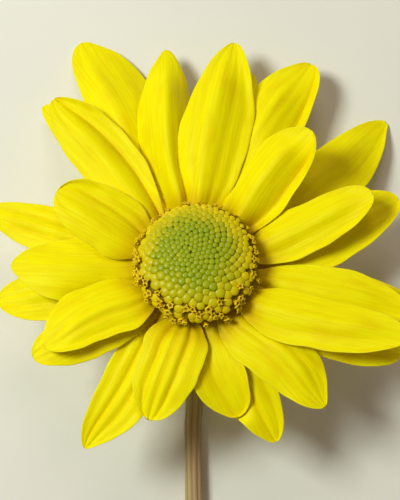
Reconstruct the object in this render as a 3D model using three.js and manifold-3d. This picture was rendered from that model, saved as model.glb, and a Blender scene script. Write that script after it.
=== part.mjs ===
// A cut daisy-form bloom, laid on its back on a flat surface.
// Millimetres, +Z up. The stem runs towards -Y, and the surface that it lies on is z = 0.
// The head has a frame of its own: the middle of the petal ring, with +Z out of the disc.

import * as THREE from 'three';
import { mergeVertices } from 'three/addons/utils/BufferGeometryUtils.js';
import Module from 'manifold-3d';

// How far the head's axis leans from straight up towards +Y.
const HEAD_TILT = 18;

// Clearance between pieces that touch in the real flower.
const GAP = 0.3;

// Domed disc of florets. Its rim hangs over the receptacle and hides the petals' roots.
const DISC_RADIUS = 9.6;
const DISC_HEIGHT = 5.6;
const DISC_RIM_DEPTH = 1.0;
const DISC_UNDERCUT = 1.2;
const DISC_OVERHANG = 2.4;
const DOME_FULLNESS = 2.2;
const BUD_COUNT = 89;
const BUD_RADIUS = 0.95;
const BUD_PROUD = 0.3;

// Ray petals. Their claws stand on the receptacle in seats, one behind another.
const PETAL_THICKNESS = 0.36;
const PETAL_EDGE = 0.24;
const PETAL_CLAW = 2.1;
const PETAL_TIP = 1.2;
const PETAL_CUP = 0.075;
const PETAL_BOW = 0.9;
const SEATS = 5;
const SEAT_GAP = 0.3;

// Every ray petal, counter-clockwise, each from its root on the receptacle to its tip.
// seat: 0 is the foremost. root, tip: degrees about the head's axis from +X. length: from the root.
// point: 0 for a round tip, 1 for a sharp one. lift: height of the tip above the petal ring.
// roll: degrees by which the blade's counter-clockwise edge is raised at the tip.
const PETALS = [
  { whorl: 'back', seat: 3, root: 5, tip: 20, length: 26.7, width: 9.2, point: 0.4, lift: -2 },
  { whorl: 'front', seat: 1, root: 15, tip: 20.7, length: 21.9, width: 7.9, point: 0.1, lift: 4, roll: -5 },
  { whorl: 'back', seat: 4, root: 40, tip: 40.4, length: 34.2, width: 8.8, point: 0.9, lift: -8.2 },
  { whorl: 'front', seat: 1, root: 46, tip: 49.3, length: 19.7, width: 9, point: 0.2, lift: 6, roll: -6 },
  { whorl: 'middle', seat: 2, root: 64, tip: 62.6, length: 31.9, width: 10.4, point: 0.3, lift: -1 },
  { whorl: 'back', seat: 3, root: 75, tip: 75.6, length: 28.1, width: 6, point: 0.6, lift: -4 },
  { whorl: 'front', seat: 1, root: 86, tip: 80.9, length: 30.3, width: 11.4, point: 0.8, lift: 2, roll: 3 },
  { whorl: 'middle', seat: 2, root: 105, tip: 98.6, length: 30, width: 9, point: 0.9, lift: 0, roll: 4 },
  { whorl: 'back', seat: 3, root: 118, tip: 114.9, length: 37, width: 9.6, point: 0.3, lift: -3.9 },
  { whorl: 'middle', seat: 2, root: 132, tip: 129.6, length: 28.8, width: 9.2, point: 0.6, lift: 1, roll: 3 },
  { whorl: 'back', seat: 4, root: 131, tip: 131, length: 31.2, width: 5.8, point: 0.7, lift: -5 },
  { whorl: 'front', seat: 0, root: 156, tip: 152.8, length: 15.4, width: 8.2, point: 0.1, lift: 7, roll: 4 },
  { whorl: 'back', seat: 3, root: 167, tip: 163.4, length: 28.4, width: 8.2, point: 0.9, lift: -3 },
  { whorl: 'front', seat: 1, root: 182, tip: 180.5, length: 21.1, width: 9.7, point: 0.2, lift: 3 },
  { whorl: 'back', seat: 4, root: 193, tip: 188.4, length: 24.3, width: 8.8, point: 0.2, lift: -4 },
  { whorl: 'front', seat: 0, root: 211, tip: 208.2, length: 18.8, width: 8.6, point: 0.3, lift: 4, roll: 3 },
  { whorl: 'middle', seat: 2, root: 220, tip: 209.5, length: 21.6, width: 7.9, point: 0.1, lift: 0 },
  { whorl: 'back', seat: 3, root: 234, tip: 238.6, length: 25.2, width: 7.8, point: 1, lift: -4 },
  { whorl: 'front', seat: 1, root: 258, tip: 252.6, length: 16.6, width: 9.8, point: 0.2, lift: 1 },
  { whorl: 'middle', seat: 2, root: 277, tip: 284.4, length: 16.2, width: 8.2, point: 0.2, lift: -2 },
  { whorl: 'back', seat: 3, root: 297, tip: 294.2, length: 21.8, width: 7.8, point: 0.6, lift: -5 },
  { whorl: 'front', seat: 1, root: 299, tip: 312.6, length: 21.5, width: 8.8, point: 0.7, lift: 1, roll: -6 },
  { whorl: 'front', seat: 0, root: 321, tip: 338.4, length: 26.8, width: 8.2, point: 0.2, lift: 4, roll: -3 },
  { whorl: 'back', seat: 3, root: 330, tip: 336.4, length: 26.9, width: 8.6, point: 0.2, lift: -3.5 },
  { whorl: 'middle', seat: 2, root: 348, tip: 347.6, length: 26, width: 9, point: 0.3, lift: -1 },
  { whorl: 'back', seat: 4, root: 353, tip: 351.8, length: 27, width: 7.6, point: 0.5, lift: -6 },
];

// A petal's outline: where it is widest, how fast its claw widens, and the two kinds of tip.
const PETAL_WIDEST = 0.5;
const PETAL_SPREAD = 1.2;
const ROUND_TIP = 2.4;
const SHARP_TIP = 2;

// How early a petal leaves the height and the angle of its root.
const PETAL_SWEEP = 1.5;

// Sections of a petal, closer together near the tip, and the points across each one.
const PETAL_STATIONS = [0, 0.1, 0.22, 0.35, 0.5, 0.65, 0.78, 0.88, 0.95, 1];
const PETAL_ACROSS = [-1, -0.5, 0, 0.5, 1];

// Receptacle, the flared top of the stem that carries every floret, petal and bract.
const RECEPTACLE_CONE = 5.1;
const RECEPTACLE_BEVEL = 0.5;
const RECEPTACLE_FLARE = [[0.2, 0.06], [0.45, 0.34]];

// Bracts of the involucre, in two rows on the receptacle's cone.
const BRACT_THICKNESS = 0.4;
const BRACT_EDGE = 0.28;
const BRACT_RISE = 1.2;
const BRACT_CURL = 2.2;
const BRACT_CUP = 0.09;
const BRACT_FOOT = 0.75;
const BRACT_TIP = 0.42;
const INNER_ROW = { name: 'inner', count: 13, drop: 1.8, length: 6.8, width: 2.9 };
const OUTER_ROW = { name: 'outer', count: 8, drop: 3.3, length: 5.6, width: 3.1 };
const BRACT_STATIONS = [0, 0.3, 0.6, 0.85, 1];
const BRACT_ACROSS = [-1, 0, 1];

// Stem, from the cut end at -Y to the neck under the head.
const STEM_DIAMETER = 3.1;
const STEM_LENGTH = 120;
const STEM_RISE = 0.3;
const STEM_DRIFT = -0.9;
const STEM_DRIFT_END = 0.15;
const STEM_BOW = 4;
const STEM_SIDES = 12;
const LYING_STEPS = 14;
const BEND_STEPS = 7;

// Sizes that follow from the ones above.
const SEAT_PITCH = PETAL_THICKNESS + SEAT_GAP;
const RECEPTACLE_RADIUS = DISC_RADIUS - DISC_OVERHANG;
const RECEPTACLE_WALL = GAP + SEATS * SEAT_PITCH;
const ROOT_RADIUS = RECEPTACLE_RADIUS + GAP;
const STEM_RADIUS = STEM_DIAMETER / 2;

const { degToRad: radians, lerp, smoothstep } = THREE.MathUtils;
const tilt = radians(HEAD_TILT);

const wasm = await Module();
wasm.setup();

function tissue(color, roughness) {
  return new THREE.MeshStandardMaterial({ color, roughness, metalness: 0, flatShading: true });
}

const petalMaterial = tissue(0xf2ea10, 0.55);
const bractMaterial = tissue(0x6f8438, 0.65);
const discMaterial = tissue(0xa3ac12, 0.5);
const stemMaterial = tissue(0x84844c, 0.6);

// Closed solid through rings that hold the same even number of points, each ring running
// counter-clockwise seen from the start. An end is closed by joining every point of its ring
// to the one that faces it.
function loft(rings) {
  const count = rings[0].length;
  const last = (rings.length - 1) * count;
  const index = [];
  for (let first = 0; first < last; first += count) {
    for (let i = 0; i < count; i += 1) {
      const a = first + i;
      const b = first + ((i + 1) % count);
      index.push(a, b + count, b);
      index.push(a, a + count, b + count);
    }
  }
  for (let i = 0; i < count / 2 - 1; i += 1) {
    const facing = count - 1 - i;
    index.push(i, facing - 1, facing);
    index.push(i, i + 1, facing - 1);
    index.push(last + i, last + facing - 1, last + i + 1);
    index.push(last + i, last + facing, last + facing - 1);
  }
  const positions = rings.flat().flatMap((point) => point.toArray());
  const geometry = new THREE.BufferGeometry();
  geometry.setAttribute('position', new THREE.Float32BufferAttribute(positions, 3));
  geometry.setIndex(index);
  return geometry;
}

// Solid blade, such as a petal or a bract. path gives its middle line, and halfWidth, cup and
// roll its section, all as functions of the fraction u of its length.
function blade({ path, halfWidth, cup, roll, stations, across, thickness, edge }) {
  const step = 0.01;
  return loft(stations.map((u) => {
    const centre = path(u);
    const forward = path(Math.min(u + step, 1)).sub(path(Math.max(u - step, 0))).normalize();
    const level = new THREE.Vector3(0, 0, 1).cross(forward).normalize();
    const side = level.applyAxisAngle(forward, roll(u));
    const normal = forward.clone().cross(side);
    const at = (s, lift) => centre.clone()
      .addScaledVector(side, s * halfWidth(u))
      .addScaledVector(normal, cup(u) * s * s + lift);
    const half = (s) => lerp(thickness, edge, s * s) / 2;
    const upper = across.map((s) => at(s, half(s)));
    const lower = across.map((s) => at(s, -half(s)));
    return [...upper, ...lower.reverse()];
  }));
}

// Half-width of a petal: a narrow claw, a broad blade and a tip between round and sharp.
function petalHalfWidth(u, width, point) {
  if (u < PETAL_WIDEST) {
    const widening = Math.sin((Math.PI / 2) * (u / PETAL_WIDEST)) ** PETAL_SPREAD;
    return lerp(PETAL_CLAW, width, widening) / 2;
  }
  const beyond = (u - PETAL_WIDEST) / (1 - PETAL_WIDEST);
  const round = Math.sqrt(1 - beyond ** ROUND_TIP);
  const sharp = 1 - beyond ** SHARP_TIP;
  return lerp(PETAL_TIP, width, lerp(round, sharp, point)) / 2;
}

function petalGeometry({ seat, root, tip, length, width, point, lift, roll = 0 }) {
  const rootHeight = -GAP - PETAL_THICKNESS / 2 - seat * SEAT_PITCH;
  const path = (u) => {
    const radius = ROOT_RADIUS + length * u;
    const angle = radians(lerp(tip, root, (1 - u) ** PETAL_SWEEP));
    const height = lerp(rootHeight, lift, u ** PETAL_SWEEP) + PETAL_BOW * Math.sin(Math.PI * u);
    return new THREE.Vector3(radius * Math.cos(angle), radius * Math.sin(angle), height);
  };
  return blade({
    path,
    halfWidth: (u) => petalHalfWidth(u, width, point),
    cup: (u) => PETAL_CUP * width * Math.sin((Math.PI / 2) * Math.min(u / PETAL_WIDEST, 1)),
    roll: (u) => radians(roll) * u,
    stations: PETAL_STATIONS,
    across: PETAL_ACROSS,
    thickness: PETAL_THICKNESS,
    edge: PETAL_EDGE,
  });
}

// Point on the receptacle's cone, below its wall, that a bract clears by the gap.
function coneSeat(drop) {
  const slope = (RECEPTACLE_RADIUS - STEM_RADIUS) / RECEPTACLE_CONE;
  const off = (GAP + BRACT_THICKNESS / 2) * Math.hypot(1, slope);
  return new THREE.Vector2(RECEPTACLE_RADIUS - drop * slope + off, -RECEPTACLE_WALL - drop);
}

// Bract that leaves the cone of the receptacle and turns out under the petals.
function bractGeometry(angle, { drop, length, width }) {
  const seat = coneSeat(drop);
  const path = (u) => {
    const radius = seat.x + length * u;
    const height = seat.y + BRACT_RISE * (1 - (1 - u) ** BRACT_CURL);
    return new THREE.Vector3(radius * Math.cos(angle), radius * Math.sin(angle), height);
  };
  const halfWidth = (u) => {
    const belly = lerp(BRACT_FOOT, 1, Math.sin(Math.PI * u));
    return (width / 2) * belly * lerp(1, BRACT_TIP, smoothstep(u, 0.5, 1));
  };
  return blade({
    path,
    halfWidth,
    cup: (u) => -BRACT_CUP * width * (1 - u),
    roll: () => 0,
    stations: BRACT_STATIONS,
    across: BRACT_ACROSS,
    thickness: BRACT_THICKNESS,
    edge: BRACT_EDGE,
  });
}

// The stem's axis from the cut end to the neck: it lies along the surface, drifts a little aside,
// and then bends up to meet the head's axis.
function stemAxis(neck) {
  const bend = Math.PI / 2 - tilt;
  const lying = STEM_RADIUS + STEM_RISE;
  const bendRadius = (neck.z - lying) / (1 - Math.cos(bend));
  const bendStart = neck.y - bendRadius * Math.sin(bend);
  const points = [];
  for (let i = 0; i < LYING_STEPS; i += 1) {
    const u = i / LYING_STEPS;
    const x = STEM_BOW * (1 - u) ** 2 + STEM_DRIFT * smoothstep(1 - u, 0, STEM_DRIFT_END);
    const z = lerp(STEM_RADIUS, lying, smoothstep(u, 0, 1));
    points.push(new THREE.Vector3(x, lerp(-STEM_LENGTH, bendStart, u), z));
  }
  for (let i = 0; i <= BEND_STEPS; i += 1) {
    const turn = (bend * i) / BEND_STEPS;
    const y = bendStart + bendRadius * Math.sin(turn);
    points.push(new THREE.Vector3(0, y, lying + bendRadius * (1 - Math.cos(turn))));
  }
  return points;
}

// Ring round the stem at one of its sections, square to the way that it runs there.
function stemRing(sections, i) {
  const { centre, radius } = sections[i];
  const ahead = sections[Math.min(i + 1, sections.length - 1)].centre;
  const behind = sections[Math.max(i - 1, 0)].centre;
  const forward = ahead.clone().sub(behind).normalize();
  const normal = new THREE.Vector3(1, 0, 0).cross(forward).normalize();
  const side = forward.clone().cross(normal);
  return Array.from({ length: STEM_SIDES }, (_, k) => {
    const turn = (2 * Math.PI * (k + 0.5)) / STEM_SIDES;
    return centre.clone()
      .addScaledVector(side, radius * Math.cos(turn))
      .addScaledVector(normal, radius * Math.sin(turn));
  });
}

// Stem and receptacle in one sweep, from the cut end to the flat top under the florets.
function stemGeometry(headHeight) {
  const down = new THREE.Vector3(0, -Math.sin(tilt), -Math.cos(tilt));
  const below = (depth) => new THREE.Vector3(0, 0, headHeight).addScaledVector(down, depth);
  const coneEnd = RECEPTACLE_WALL + RECEPTACLE_CONE;
  const sections = stemAxis(below(coneEnd)).map((centre) => ({ centre, radius: STEM_RADIUS }));
  const profile = RECEPTACLE_FLARE.map(([up, out]) => [
    lerp(coneEnd, RECEPTACLE_WALL, up),
    lerp(STEM_RADIUS, RECEPTACLE_RADIUS, out),
  ]);
  profile.push([RECEPTACLE_WALL, RECEPTACLE_RADIUS]);
  profile.push([RECEPTACLE_BEVEL, RECEPTACLE_RADIUS]);
  profile.push([0, RECEPTACLE_RADIUS - RECEPTACLE_BEVEL]);
  profile.forEach(([depth, radius]) => sections.push({ centre: below(depth), radius }));
  return loft(sections.map((_, i) => stemRing(sections, i)));
}

// Height of the dome's surface above its base, at a distance from the axis.
function domeHeight(radius) {
  const out = Math.min(radius / DISC_RADIUS, 1);
  return lerp(DISC_RIM_DEPTH, DISC_HEIGHT, Math.sqrt(1 - out ** DOME_FULLNESS));
}

function domeGeometry() {
  const steps = 7;
  const profile = [new THREE.Vector2(0, 0), new THREE.Vector2(DISC_RADIUS - DISC_UNDERCUT, 0)];
  for (let i = 0; i < steps; i += 1) {
    const radius = DISC_RADIUS * Math.cos((Math.PI / 2) * (i / steps));
    profile.push(new THREE.Vector2(radius, domeHeight(radius)));
  }
  profile.push(new THREE.Vector2(0, DISC_HEIGHT));
  return new THREE.LatheGeometry(profile, 28).rotateX(Math.PI / 2);
}

function toSolid(geometry) {
  const bare = new THREE.BufferGeometry();
  bare.setAttribute('position', geometry.getAttribute('position'));
  bare.setIndex(geometry.getIndex());
  const merged = mergeVertices(bare);
  return new wasm.Manifold(new wasm.Mesh({
    numProp: 3,
    vertProperties: merged.getAttribute('position').array,
    triVerts: merged.getIndex().array,
  }));
}

function fromSolid(solid) {
  const mesh = solid.getMesh();
  const geometry = new THREE.BufferGeometry();
  geometry.setAttribute('position', new THREE.BufferAttribute(mesh.vertProperties, 3));
  geometry.setIndex(new THREE.BufferAttribute(mesh.triVerts, 1));
  return geometry;
}

// Buds set on the dome along the golden spiral in which florets grow.
function discGeometry() {
  const golden = Math.PI * (3 - Math.sqrt(5));
  const reach = DISC_RADIUS - BUD_RADIUS * 0.7;
  let solid = toSolid(domeGeometry());
  for (let i = 0; i < BUD_COUNT; i += 1) {
    const radius = reach * Math.sqrt((i + 0.5) / BUD_COUNT);
    const height = domeHeight(radius) - BUD_RADIUS + BUD_PROUD;
    const bud = new THREE.IcosahedronGeometry(BUD_RADIUS, 0);
    bud.translate(radius * Math.cos(i * golden), radius * Math.sin(i * golden), height);
    solid = solid.add(toSolid(bud));
  }
  return fromSolid(solid).translate(0, 0, GAP);
}

function numbered(name, number) {
  return `${name}_${String(number).padStart(2, '0')}`;
}

function addMesh(parent, name, geometry, material) {
  const mesh = new THREE.Mesh(geometry, material.clone());
  mesh.name = name;
  parent.add(mesh);
}

function addPetals(head) {
  const placed = { front: 0, middle: 0, back: 0 };
  PETALS.forEach((petal) => {
    placed[petal.whorl] += 1;
    const name = numbered(`petal_${petal.whorl}`, placed[petal.whorl]);
    addMesh(head, name, petalGeometry(petal), petalMaterial);
  });
}

function addBracts(head, row) {
  for (let i = 0; i < row.count; i += 1) {
    const angle = (2 * Math.PI * i) / row.count;
    addMesh(head, numbered(`bract_${row.name}`, i + 1), bractGeometry(angle, row), bractMaterial);
  }
}

const flower = new THREE.Group();
const head = new THREE.Group();
head.rotation.x = -tilt;
flower.add(head);

// The head is as high as its lowest petals hold it off the surface, and the stem follows.
addPetals(head);
head.position.z = -new THREE.Box3().setFromObject(head, true).min.z;
addBracts(head, INNER_ROW);
addBracts(head, OUTER_ROW);
addMesh(head, 'disc_florets', discGeometry(), discMaterial);
addMesh(flower, 'stem', stemGeometry(head.position.z), stemMaterial);

// The origin is the middle of the flower's box, on the surface.
const box = new THREE.Box3().setFromObject(flower, true);
flower.position.set(-(box.min.x + box.max.x) / 2, -(box.min.y + box.max.y) / 2, -box.min.z);

const group = new THREE.Group();
group.add(flower);

export default group;
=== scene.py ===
"""Looks of a cut daisy-form bloom that lies on its back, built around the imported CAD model.

Lengths are millimetres until a mesh is made. The part lies along Y with its stem towards -Y, and z = 0 is
the surface under it. The head has a frame of its own: HeadFrame's axis points out of the disc.
"""

import logging
import math
from dataclasses import dataclass, field
from enum import Enum
from typing import Any

import bpy
import numpy as np
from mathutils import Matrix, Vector
from mathutils.bvhtree import BVHTree
from numpy.polynomial import Polynomial


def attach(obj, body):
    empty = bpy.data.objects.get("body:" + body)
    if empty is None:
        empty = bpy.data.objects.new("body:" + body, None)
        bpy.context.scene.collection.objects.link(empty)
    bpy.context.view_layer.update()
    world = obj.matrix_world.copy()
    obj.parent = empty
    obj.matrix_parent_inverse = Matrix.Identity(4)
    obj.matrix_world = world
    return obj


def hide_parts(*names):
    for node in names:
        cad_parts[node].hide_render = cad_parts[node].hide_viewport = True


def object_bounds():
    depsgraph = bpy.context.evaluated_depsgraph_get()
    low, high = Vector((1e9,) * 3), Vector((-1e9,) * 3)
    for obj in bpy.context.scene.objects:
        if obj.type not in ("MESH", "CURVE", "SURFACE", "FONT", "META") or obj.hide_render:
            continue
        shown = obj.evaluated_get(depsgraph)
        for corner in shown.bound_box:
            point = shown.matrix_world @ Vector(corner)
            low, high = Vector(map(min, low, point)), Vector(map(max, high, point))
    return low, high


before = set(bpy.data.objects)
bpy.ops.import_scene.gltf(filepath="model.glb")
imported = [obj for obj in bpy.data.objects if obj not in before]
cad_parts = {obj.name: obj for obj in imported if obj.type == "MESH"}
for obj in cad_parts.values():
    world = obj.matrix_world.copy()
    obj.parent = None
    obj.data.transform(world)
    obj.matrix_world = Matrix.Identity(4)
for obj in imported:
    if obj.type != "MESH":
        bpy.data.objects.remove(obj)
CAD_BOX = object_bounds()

MM = 0.001
BODY = "root"
UV_NAME = "tissue_mm"
GOLDEN_ANGLE = math.pi * (3 - math.sqrt(5))
NEARLY_ZERO = 1e-7

log = logging.getLogger("bloom")


class Slot(Enum):
    """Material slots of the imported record."""

    PETAL = "petal"
    DISC = "disc"
    BRACT = "bract"
    STEM = "stem"


# ---- small maths


def smooth(value: np.ndarray | float, low: float, high: float) -> np.ndarray:
    """Smooth step of value from 0 at low to 1 at high.

    Args:
        value: Numbers to map.
        low: Where the step starts.
        high: Where it ends, which may be below low.

    Returns:
        Values from 0 to 1 in the shape of value.
    """
    t = np.clip((np.asarray(value, float) - low) / (high - low), 0.0, 1.0)
    return t * t * (3 - 2 * t)


def mix(a: Any, b: Any, t: Any) -> Any:
    """Linear blend from a to b by t."""
    return a + (b - a) * t


def unit(vector: np.ndarray) -> np.ndarray:
    """The vector, or each row of vectors, at length 1."""
    return vector / np.linalg.norm(vector, axis=-1, keepdims=True)


def node_mesh(name: str) -> tuple[np.ndarray, np.ndarray]:
    """Reads a CAD node.

    Args:
        name: The node's name.

    Returns:
        Its corners in millimetres, and the corners of its triangles.
    """
    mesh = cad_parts[name].data
    points = np.zeros(len(mesh.vertices) * 3)
    mesh.vertices.foreach_get("co", points)
    mesh.calc_loop_triangles()
    corners = np.zeros(len(mesh.loop_triangles) * 3, int)
    mesh.loop_triangles.foreach_get("vertices", corners)
    return points.reshape(-1, 3) / MM, corners.reshape(-1, 3)


def plane_cut(
    points: np.ndarray, triangles: np.ndarray, origin: np.ndarray, normal: np.ndarray
) -> np.ndarray:
    """Cuts a mesh with a plane.

    Args:
        points: The mesh's corners.
        triangles: Its triangles.
        origin: A point of the plane.
        normal: The plane's normal.

    Returns:
        The ends of the cut's segments, as an array of (segment, end, coordinate).
    """
    height = (points - origin) @ normal
    height = np.where(np.abs(height) < NEARLY_ZERO, NEARLY_ZERO, height)
    segments = []
    for a, b in ((0, 1), (1, 2), (2, 0)):
        first, second = triangles[:, a], triangles[:, b]
        crossed = height[first] * height[second] < 0
        share = height[first] / np.where(crossed, height[first] - height[second], 1.0)
        place = mix(points[first], points[second], share[:, None])
        segments.append(np.where(crossed[:, None], place, np.nan))
    three = np.stack(segments, axis=1)
    hit = ~np.isnan(three[:, :, 0])
    three, hit = three[hit.sum(1) == 2], hit[hit.sum(1) == 2]
    return three[hit].reshape(-1, 2, 3)


# ---- meshes


def placed(name: str, data: bpy.types.ID) -> bpy.types.Object:
    """A new object of that name and data, in the scene."""
    made = bpy.data.objects.new(name, data)
    bpy.context.scene.collection.objects.link(made)
    return made


@dataclass
class Skin:
    """A closed mesh under construction: points in mm, faces, and a number or more for each point."""

    points: np.ndarray
    faces: list[tuple[int, ...]]
    numbers: dict[str, np.ndarray] = field(default_factory=dict)
    uv: np.ndarray | None = None

    def piece(self, name: str, material: bpy.types.Material, slot: Slot, *stands_for: str) -> None:
        """Makes the Blender piece, riding on the part's body.

        Args:
            name: The piece's name.
            material: Its finish.
            slot: The record's slot of the finish; not used.
            stands_for: CAD nodes that it replaces.
        """
        mesh = bpy.data.meshes.new(name)
        mesh.from_pydata((self.points * MM).tolist(), [], self.faces)
        mesh.update()
        mesh.polygons.foreach_set("use_smooth", [True] * len(mesh.polygons))
        for key, values in self.numbers.items():
            layer = mesh.attributes.new(key, "FLOAT", "POINT")
            layer.data.foreach_set("value", np.asarray(values, np.float32))
        if self.uv is not None:
            corners = np.zeros(len(mesh.loops), int)
            mesh.loops.foreach_get("vertex_index", corners)
            layer = mesh.uv_layers.new(name=UV_NAME)
            layer.data.foreach_set("uv", self.uv[corners].astype(np.float32).ravel())
        mesh.materials.append(material)
        made = placed(name, mesh)
        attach(made, BODY)
        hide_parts(*stands_for)
        log.info("%s: %d points, for %s", name, len(self.points), ", ".join(stands_for))


def ring_faces(rings: int, count: int) -> list[tuple[int, ...]]:
    """Faces that join closed rings of points into a tube.

    Args:
        rings: How many rings there are.
        count: Points in each.

    Returns:
        Four-cornered faces that face out where the rings run counter-clockwise seen from the last.
    """
    faces = []
    for j in range(rings - 1):
        for i in range(count):
            a = j * count + i
            b = j * count + (i + 1) % count
            faces.append((a, b, b + count, a + count))
    return faces


def closed_tube(rings: int, count: int) -> list[tuple[int, ...]]:
    """The faces of ring_faces, and one face over each end."""
    last = (rings - 1) * count
    return ring_faces(rings, count) + [tuple(range(count))[::-1], tuple(range(last, last + count))]


def blade_faces(stations: int, columns: int, rim: int) -> list[tuple[int, ...]]:
    """Faces of a closed blade whose rings run over its upper face and back under its lower one.

    Args:
        stations: How many rings there are.
        columns: Points across each face.
        rim: 1 if a point of its own stands at each edge, else 0.

    Returns:
        The faces along the blade, then those over its two ends.
    """
    count = 2 * (columns + rim)
    faces = ring_faces(stations, count)
    for first in (0, (stations - 1) * count):
        end = first + count
        cap = [(first + i, first + i + 1, end - 2 - rim - i, end - 1 - rim - i) for i in range(columns - 1)]
        if rim:
            cap.append((first + columns - 1, first + columns, first + columns + 1))
            cap.append((end - 1, first, end - 2))
        faces += cap if first else [face[::-1] for face in cap]
    return faces


def joined(parts: list[Skin]) -> Skin:
    """One skin that holds the points and faces of several."""
    offsets = np.cumsum([0] + [len(part.points) for part in parts])
    faces = [tuple(i + int(o) for i in face) for part, o in zip(parts, offsets) for face in part.faces]
    numbers = {key: np.concatenate([part.numbers[key] for part in parts]) for key in parts[0].numbers}
    return Skin(np.concatenate([part.points for part in parts]), faces, numbers)


# ---- finishes


def linear(code: int) -> tuple[float, float, float, float]:
    """Turns an sRGB colour such as 0xF2EA10 into the linear one that a socket takes."""
    shares = [((code >> shift) & 255) / 255 for shift in (16, 8, 0)]
    return tuple(s / 12.92 if s <= 0.04045 else ((s + 0.055) / 1.055) ** 2.4 for s in shares) + (1.0,)


def add_node(tree: bpy.types.NodeTree, kind: str, inputs: dict[Any, Any], **settings: Any) -> bpy.types.Node:
    """Adds a node to a material.

    Args:
        tree: The material's tree.
        kind: The node's type.
        inputs: Values or linked sockets, by the input's name or number.
        settings: The node's own settings.

    Returns:
        The node.
    """
    node = tree.nodes.new(kind)
    for key, value in settings.items():
        setattr(node, key, value)
    for key, value in inputs.items():
        if isinstance(value, bpy.types.NodeSocket):
            tree.links.new(value, node.inputs[key])
        else:
            node.inputs[key].default_value = value
    return node


class Paint:
    """A material being mixed: its tree, and the few recipes that all the tissues share."""

    def __init__(self, name: str) -> None:
        """Starts an empty material of that name."""
        self.material = bpy.data.materials.new(name)
        self.material.use_nodes = True
        self.tree = self.material.node_tree
        self.tree.nodes.clear()

    def number(self, name: str) -> bpy.types.NodeSocket:
        """The mesh's own number of that name."""
        return add_node(self.tree, "ShaderNodeAttribute", {}, attribute_name=name).outputs["Fac"]

    def step(self, value: Any, low: float, high: float, bottom: float = 0.0, top: float = 1.0) -> Any:
        """Smooth step of a value from bottom at low to top at high."""
        inputs = {"Value": value, "From Min": low, "From Max": high, "To Min": bottom, "To Max": top}
        node = add_node(self.tree, "ShaderNodeMapRange", inputs, interpolation_type="SMOOTHSTEP")
        return node.outputs["Result"]

    def blend(self, factor: Any, first: Any, second: Any, how: str = "MIX") -> Any:
        """Blends two colours, each a socket or an sRGB code, by a factor."""
        sides = [linear(side) if isinstance(side, int) else side for side in (first, second)]
        inputs = {0: factor, 6: sides[0], 7: sides[1]}
        return add_node(self.tree, "ShaderNodeMix", inputs, data_type="RGBA", blend_type=how).outputs[2]

    def tint(self, colour: Any, other: Any, where: Any, low: float, high: float, most: float = 1.0) -> Any:
        """Tints a colour with another.

        Args:
            colour: The colour so far, a socket or an sRGB code.
            other: The colour to tint it with.
            where: A socket, or the name of the mesh's own number.
            low: Where the tint starts.
            high: Where it is full, which may be below low.
            most: How strong it is there.

        Returns:
            The tinted colour's socket.
        """
        value = self.number(where) if isinstance(where, str) else where
        return self.blend(self.step(value, low, high, 0.0, most), colour, other)

    def maths(self, how: str, first: Any, second: Any) -> Any:
        """Sum, product or other result of two numbers."""
        return add_node(self.tree, "ShaderNodeMath", {0: first, 1: second}, operation=how).outputs[0]

    def grain(self, along: float, across: float, detail: float = 2.0) -> Any:
        """Noise stretched along the tissue.

        Args:
            along: Size of its features along the tissue, in mm.
            across: Their size across it, in mm.
            detail: How many finer layers it holds.

        Returns:
            A socket from 0 to 1.
        """
        place = add_node(self.tree, "ShaderNodeUVMap", {}, uv_map=UV_NAME).outputs["UV"]
        inputs = {0: place, 1: (1 / along, 1 / across, 1.0)}
        scaled = add_node(self.tree, "ShaderNodeVectorMath", inputs, operation="MULTIPLY").outputs[0]
        inputs = {"Vector": scaled, "Scale": 1.0, "Detail": detail, "Roughness": 0.55}
        return add_node(self.tree, "ShaderNodeTexNoise", inputs).outputs["Fac"]

    def speckle(self, size: float, detail: float = 2.0) -> Any:
        """Even noise with features of that size in mm."""
        place = add_node(self.tree, "ShaderNodeTexCoord", {}).outputs["Object"]
        inputs = {"Vector": place, "Scale": 1 / (size * MM), "Detail": detail}
        return add_node(self.tree, "ShaderNodeTexNoise", inputs).outputs["Fac"]

    def relief(self, height: Any, depth: float) -> Any:
        """Bump of that depth in mm."""
        inputs = {"Height": height, "Distance": depth * MM, "Strength": 1.0}
        return add_node(self.tree, "ShaderNodeBump", inputs).outputs["Normal"]

    def surface(self, colour: Any, **inputs: Any) -> bpy.types.Material:
        """Closes the material.

        Args:
            colour: Socket or sRGB code of the tissue's colour.
            inputs: Values for the shader's sockets, with _ for a space in their names.

        Returns:
            The material.
        """
        sockets = {"Base Color": linear(colour) if isinstance(colour, int) else colour}
        sockets |= {key.replace("_", " "): value for key, value in inputs.items()}
        shader = add_node(self.tree, "ShaderNodeBsdfPrincipled", sockets)
        add_node(self.tree, "ShaderNodeOutputMaterial", {"Surface": shader.outputs[0]})
        return self.material


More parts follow.
